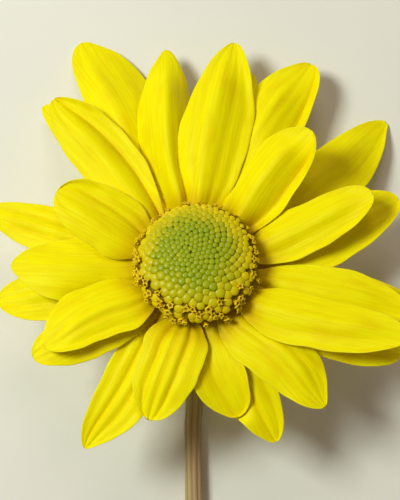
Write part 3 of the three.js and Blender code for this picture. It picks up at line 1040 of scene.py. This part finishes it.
@dataclass
class FloretDisc:
    """The domed disc: closed buds in a golden spiral, and open florets round its rim."""

    head: HeadFrame
    node: str = "disc_florets"
    florets: int = 390
    crowding: float = 0.54
    fullness: float = 2.2
    bud_height: float = 0.85
    open_from: float = 0.85
    pole: tuple[float, float] = (-0.9, 0.5)
    large_side: tuple[float, float] = (-0.35, -0.94)
    smallest: float = 0.82
    largest: float = 1.42
    rim_shrink: float = 0.78
    open_chance: float = 0.75
    open_scale: float = 0.85
    bud_scale: float = 1.08
    rim_bud_scale: float = 0.95
    segments: int = 15
    easing_steps: int = 60
    easing: float = 0.3
    flesh_sides: int = 48
    flesh_rings: int = 16
    flesh_depth: float = 0.55

    def __post_init__(self) -> None:
        """Reads the dome from its CAD node."""
        local = self.head.local(node_mesh(self.node)[0])
        reach = np.hypot(local[:, 0], local[:, 1])
        self.radius = float(reach.max())
        self.apex = float(local[:, 2].max())
        self.rim = float(local[reach > self.radius - 0.3, 2].mean())

    def dome(self, reach: np.ndarray) -> np.ndarray:
        """Height of the florets' tops at a distance from the axis."""
        out = np.clip(reach / self.radius, 0, 1)
        return mix(self.rim, self.apex, np.sqrt(1 - out**self.fullness))

    def stand(self, reach: float, angle: float, sink: float, lean: float) -> tuple[np.ndarray, np.ndarray]:
        """Where a floret stands.

        Args:
            reach: Its distance from the axis.
            angle: Its direction round the axis.
            sink: How far its foot is below the dome.
            lean: How much of the dome's slope it leans by.

        Returns:
            Its foot, and its own side, front and top directions as rows.
        """
        step = 0.05
        near = min(reach, self.radius - 2 * step)
        slope = float(self.dome(np.array(near - step)) - self.dome(np.array(near + step))) / (2 * step)
        out = np.array([math.cos(angle), math.sin(angle), 0.0])
        top = unit(out * slope * lean + np.array([0.0, 0.0, 1.0]))
        side = unit(np.cross(top, np.array([-math.sin(angle), math.cos(angle), 0.0])))
        foot = out * reach + np.array([0.0, 0.0, float(self.dome(np.array(reach)))]) - top * sink
        return foot, np.stack([side, np.cross(top, side), top])

    def lathed(
        self,
        profile: list[tuple[float, float]],
        frames: np.ndarray,
        foot: np.ndarray,
        size: float,
        lobes: np.ndarray,
    ) -> np.ndarray:
        """Rings of a small lathed form, in the head's frame.

        Args:
            profile: Radius and height of each ring, as shares of size.
            frames: The form's side, front and top directions as rows.
            foot: Where it stands.
            size: Its size in mm.
            lobes: Factor on each ring's radius, for each segment.

        Returns:
            The points, ring after ring.
        """
        turn = np.arange(self.segments) * 2 * np.pi / self.segments
        rings = []
        for (radius, height), factor in zip(profile, lobes):
            across = [np.cos(turn) * radius * factor, np.sin(turn) * radius * factor]
            rings.append(np.stack([*across, np.full_like(turn, height)], axis=1))
        return foot + np.concatenate(rings) * size @ frames

    def bud(self, reach: float, angle: float, size: float, age: float, random: np.random.Generator) -> Skin:
        """One closed bud, blunt and faintly five-sided."""
        profile = [(0.4, 0.0), (0.55, 0.3), (0.6, 0.56), (0.57, 0.72), (0.46, 0.83)]
        profile += [(0.26, 0.91), (0.06, 0.93)]
        top = profile[-1][1]
        profile = [(radius, height * self.bud_height / top) for radius, height in profile]
        turn = np.arange(self.segments) * 2 * np.pi / self.segments + random.uniform(0, 6)
        lobes = np.array([1 + strength * np.cos(5 * turn) for strength in (0, 0, 0.02, 0.03, 0.05, 0.06, 0)])
        foot, frames = self.stand(reach, angle, size * self.bud_height, 0.75)
        points = self.lathed(profile, frames, foot, size * random.uniform(0.92, 1.06), lobes)
        # crown: height up the bud, by which the finish paints a highlight on top and shade at the foot
        crown = np.repeat([0.0, 0.25, 0.5, 0.75, 0.9, 1.0, 1.0], self.segments)
        ripe = float(np.clip(smooth(age, 0.38, 1.0) + random.normal(0, 0.09), 0, 1))
        numbers = {"crown": crown, "ripeness": np.full(len(points), ripe)}
        return Skin(self.head.world(points), closed_tube(len(profile), self.segments), numbers)

    def open_floret(self, reach: float, angle: float, size: float, random: np.random.Generator) -> Skin:
        """One open floret: a tube that flares into five pointed lobes round a hollow throat."""
        flare = random.uniform(0.7, 1.25)
        tall = random.uniform(0.85, 1.25)
        reach += random.normal(0.05, 0.22)
        profile = [(0.22, 0.0), (0.3, 0.4 * tall), (0.36, 0.78 * tall), (0.52 * flare, 1.0 * tall),
                   (0.44 * flare, 1.1 * tall), (0.16, 1.0 * tall), (0.08, 0.8 * tall)]
        turn = np.arange(self.segments) * 2 * np.pi / self.segments
        star = np.cos(5 * (turn + random.uniform(0, 6)) / 2) ** 2 * random.uniform(0.3, 1.6, len(turn))
        lobes = np.array([np.ones_like(star)] * 3 + [0.55 + 0.85 * star] * 2 + [np.ones_like(star)] * 2)
        angle += random.normal(0, 0.03)
        sink = size * random.uniform(0.6, 0.9)
        foot, frames = self.stand(reach, angle, sink, random.uniform(0.2, 1.0))
        points = self.lathed(profile, frames, foot, size, lobes)
        numbers = {
            "crown": np.repeat([0.0, 0.3, 0.6, 0.9, 1.0, 0.8, 0.6], self.segments),
            "throat": np.repeat([0.0, 0.0, 0.0, 0.0, 0.1, 0.75, 1.0], self.segments),
        }
        return Skin(self.head.world(points), closed_tube(len(profile), self.segments), numbers)

    def packed(self) -> tuple[np.ndarray, np.ndarray, np.ndarray]:
        """Packs the florets in a golden spiral about the youngest point, then eases them to an even fit.

        Returns:
            Each floret's place across the dome, its age from 0 to 1, and its width.
        """
        order = np.arange(self.florets)
        ages = ((order + 0.5) / self.florets) ** self.crowding
        turns = order * GOLDEN_ANGLE
        limit = self.radius - 0.1
        spots = np.stack([np.cos(turns), np.sin(turns)], axis=1) * (ages * limit)[:, None]
        spots += np.array(self.pole) * (1 - ages**2)[:, None]
        lower = smooth(spots @ np.array(self.large_side) / self.radius, -0.6, 0.8)
        grown = mix(self.smallest, self.largest, smooth(ages, 0.1, 0.8) * mix(0.25, 1.0, lower))
        sizes = grown * mix(1, self.rim_shrink, smooth(ages, 0.85, 0.97))
        wanted = (sizes[:, None] + sizes[None]) / 2
        for _ in range(self.easing_steps):
            reach = np.hypot(*spots.T)
            tops = np.column_stack([spots, self.dome(np.minimum(reach, limit))])
            gaps = spots[:, None] - spots[None]
            apart = np.linalg.norm(tops[:, None] - tops[None], axis=2) + np.eye(len(spots))
            push = np.clip(wanted - apart, 0, None) * (1 - np.eye(len(spots)))
            spots = spots + self.easing * (gaps * (push / apart)[..., None]).sum(1)
            reach = np.hypot(*spots.T)
            spots *= np.minimum(1, limit / reach)[:, None]
        log.info("florets: %d, closest %.2f mm", len(spots), (apart + 9 * np.eye(len(spots))).min())
        outer = smooth(np.hypot(*spots.T) / limit, 0.62, 1.0) * 0.95
        return spots, np.clip(np.maximum(ages, outer), 0, 1), sizes

    def core(self) -> Skin:
        """The flesh under the florets, from the dome down to the flat underside."""
        sides = self.flesh_sides
        reaches = self.radius * np.sin(np.linspace(0.03, 1, self.flesh_rings) * np.pi / 2) - 0.35
        heights = np.maximum(self.dome(reaches) - self.flesh_depth, 0.5)
        reaches = np.concatenate([reaches, [self.radius - 1.0, 0.5]])
        heights = np.concatenate([heights, [0.0, 0.0]])
        turn = np.arange(sides) * 2 * np.pi / sides
        across = [np.outer(reaches, np.cos(turn)), np.outer(reaches, np.sin(turn))]
        rings = np.stack([*across, np.outer(heights, np.ones(sides))], axis=2)
        faces = [face[::-1] for face in closed_tube(len(reaches), sides)]
        return Skin(self.head.world(rings.reshape(-1, 3)), faces)

    def build(self) -> None:
        """Builds and dresses the disc."""
        random = np.random.default_rng(7)
        spots, ages, sizes = self.packed()
        reaches, angles = np.hypot(*spots.T), np.arctan2(spots[:, 1], spots[:, 0])
        buds, opened = [], []
        for age, reach, angle, size in zip(ages, reaches, angles, sizes):
            ajar = age - self.open_from - 0.11 * math.sin(angle + 0.2) + random.normal(0, 0.03)
            if ajar > 0 and random.uniform() < self.open_chance:
                opened.append(self.open_floret(reach, angle, size * self.open_scale, random))
            else:
                scale = self.bud_scale if ajar < 0 else self.rim_bud_scale
                buds.append(self.bud(reach, angle, size * scale, age, random))
        joined(buds).piece("disc_buds", BudTissue().material(), Slot.DISC, self.node)
        joined(opened).piece("disc_open_florets", FloretTissue().material(), Slot.DISC, self.node)
        self.core().piece("disc_flesh", DiscFlesh().material(), Slot.DISC, self.node)


# ---- the stem


@dataclass
class Stem:
    """Stem and receptacle, walked from the cut end to the flat top under the florets."""

    head: HeadFrame
    node: str = "stem"
    sides: int = 96
    ribs: int = 9
    rib_depth: float = 0.09
    unevenness: float = 0.03
    stride: float = 1.0
    near: float = 12.0

    def walk(self) -> tuple[np.ndarray, np.ndarray, np.ndarray]:
        """Follows the CAD stem with a cut square to the way that it runs.

        Returns:
            The middle of each cut, its inner radius, and the way that it runs there.
        """
        points, triangles = node_mesh(self.node)
        end = points[points[:, 1] < points[:, 1].min() + 0.05].mean(0)
        heading = np.array([0.0, 1.0, 0.0])
        middles, radii, headings = [end], [], [heading]
        place = end + heading * 0.3
        while True:
            cut = plane_cut(points, triangles, place, heading)
            near = np.linalg.norm(cut.mean(1) - place, axis=1) < self.near
            if not near.any():
                break
            cut = cut[near]
            lengths = np.linalg.norm(cut[:, 0] - cut[:, 1], axis=1)
            middle = (cut.mean(1) * lengths[:, None]).sum(0) / lengths.sum()
            radii.append(float(np.linalg.norm(cut.mean(1) - middle, axis=1).min()))
            middles.append(middle)
            turned = unit(middle - middles[-3]) if len(middles) > 3 else heading
            heading = unit(heading + turned)
            headings.append(heading)
            place = middle + heading * self.stride
        return np.array(middles), np.array([radii[0], *radii]), np.array(headings)

    def build(self) -> None:
        """Builds and dresses the stem and its receptacle as one skin."""
        middles, radii, headings = self.walk()
        count = len(middles)
        up = np.array([1.0, 0.0, 0.0])
        normals = unit(np.cross(up, headings))
        sides = np.cross(headings, normals)
        turn = np.arange(self.sides) * 2 * np.pi / self.sides
        travelled = np.concatenate([[0], np.cumsum(np.linalg.norm(np.diff(middles, axis=0), axis=1))])
        slim = smooth(radii, 2.6, 1.8)
        rib = 0.5 + 0.5 * np.cos(self.ribs * turn[None, :] + 0.6 * np.sin(travelled / 31)[:, None])
        furrow = (1 - rib**0.6) * slim[:, None]
        spread = radii[:, None] - 2 * self.rib_depth * furrow
        spread += self.unevenness * np.sin(travelled / 5.3)[:, None] * slim[:, None]
        rings = (
            middles[:, None]
            + sides[:, None] * (np.cos(turn) * spread)[..., None]
            + normals[:, None] * (np.sin(turn) * spread)[..., None]
        )
        log.info("stem: %d cuts, %.1f mm, radius from %.2f", count, travelled[-1], radii.min())
        inset = [
            middles[0] + (rings[0] - middles[0]) * share + headings[0] * depth
            for share, depth in ((0.93, 0.0), (0.6, 0.12), (0.55, 0.2), (0.12, 0.28))
        ]
        top = [middles[-1] + (rings[-1] - middles[-1]) * s for s in (0.9, 0.4, 0.06)]
        points = np.concatenate([*inset[::-1], *rings, *top])
        total = len(inset) + count + len(top)
        faces = [face[::-1] for face in closed_tube(total, self.sides)]
        zeros = np.zeros_like(furrow)
        aged = smooth(travelled, travelled[-1] - 18, travelled[-1] - 62)
        age = np.broadcast_to(aged[:, None], furrow.shape)
        layers = {
            "furrow": (0.0, furrow, 0.0),
            "age": (1.0, age, 0.0),
            "cut": (1.0, zeros, 0.0),
            "pith": (None, zeros, 0.0),
        }
        pith = np.repeat([1.0, 1.0, 0.8, 0.0], self.sides)
        numbers = {}
        for key, (start, body, finish) in layers.items():
            head = pith if start is None else np.full(len(inset) * self.sides, start)
            numbers[key] = np.concatenate([head, body.ravel(), np.full(len(top) * self.sides, finish)])
        around = np.broadcast_to(turn * 1.5, furrow.shape)
        along = np.broadcast_to(travelled[:, None], furrow.shape)
        uv = np.zeros((len(points), 2))
        first = len(inset) * self.sides
        uv[first : first + count * self.sides] = np.stack([along.ravel(), around.ravel()], axis=1)
        Skin(points, faces, numbers, uv).piece("stem_skin", StemSkin().material(), Slot.STEM, self.node)


# ---- the studio


@dataclass(frozen=True)
class SoftLamp:
    """A square lamp with a soft face, aimed at the head.

    bearing, elevation: its direction from the head in degrees, from +X towards +Y and up.
    distance, size: how far off it is and how wide, in mm. power: watts. colour: sRGB.
    """

    name: str
    bearing: float
    elevation: float
    distance: float
    size: float
    power: float
    colour: int

    def hang(self, target: np.ndarray) -> None:
        """Hangs the lamp so that it faces that point."""
        data = bpy.data.lights.new(self.name, "AREA")
        data.size = self.size * MM
        data.energy = self.power
        data.color = linear(self.colour)[:3]
        lamp = placed(self.name, data)
        a, e = math.radians(self.bearing), math.radians(self.elevation)
        away = np.array([math.cos(a) * math.cos(e), math.sin(a) * math.cos(e), math.sin(e)])
        lamp.location = ((target + away * self.distance) * MM).tolist()
        lamp.rotation_mode = "QUATERNION"
        lamp.rotation_quaternion = Vector((-away).tolist()).to_track_quat("-Z", "Y")


KEY_LAMP = SoftLamp("key_lamp", 152.0, 55.0, distance=420.0, size=120.0, power=1.34, colour=0xF4FFEC)
FILL_LAMP = SoftLamp("fill_lamp", 88.0, 45.0, distance=900.0, size=300.0, power=1.1, colour=0xFFF0E0)


@dataclass
class Studio:
    """Floor, lamps and the camera straight above the bloom."""

    head: HeadFrame
    focal: float = 120.0
    sensor: float = 36.0
    above: tuple[float, float, float] = (0.39, 2.43, 261.7)
    floor_size: float = 3000.0
    floor_gap: float = 0.02
    room: int = 0xFBEBD8
    room_strength: float = 0.18

    def floor(self) -> None:
        """Lays the painted board, just under the part."""
        half = self.floor_size / 2
        low = CAD_BOX[0].z / MM - self.floor_gap
        corners = [(-half, -half, low), (half, -half, low), (half, half, low), (-half, half, low)]
        mesh = bpy.data.meshes.new("studio_floor")
        mesh.from_pydata([[c * MM for c in corner] for corner in corners], [], [(0, 1, 2, 3)])
        mesh.materials.append(StudioBoard().material())
        board = placed("studio_floor", mesh)

    def camera(self) -> None:
        """Sets the camera straight above the head, with +Y up in its view."""
        data = bpy.data.cameras.new("camera")
        data.lens = self.focal
        data.sensor_width = self.sensor
        data.clip_start = 0.01
        data.clip_end = 10.0
        camera = placed("camera", data)
        camera.location = ((self.head.origin + np.array(self.above)) * MM).tolist()
        bpy.context.scene.camera = camera

    def world(self) -> None:
        """Lights the room with an even, slightly warm grey."""
        world = bpy.data.worlds.new("studio_room")
        world.use_nodes = True
        background = world.node_tree.nodes["Background"]
        background.inputs["Color"].default_value = linear(self.room)
        background.inputs["Strength"].default_value = self.room_strength
        bpy.context.scene.world = world

    def build(self) -> None:
        """Sets up the whole studio."""
        self.floor()
        for lamp in (KEY_LAMP, FILL_LAMP):
            lamp.hang(self.head.origin)
        self.camera()
        self.world()
        bpy.context.scene.view_settings.view_transform = "Standard"


def main() -> None:
    """Builds the bloom piece by piece, then the studio round it."""
    logging.basicConfig(level=logging.INFO, format="%(message)s")
    head = HeadFrame.from_disc("disc_florets")
    log.info("head at %s, axis %s", head.origin.round(3), head.axis.round(4))
    Stem(head).build()
    Involucre(head).build()
    RayPetals(head).build()
    FloretDisc(head).build()
    Studio(head).build()


if __name__ == "__main__":
    main()
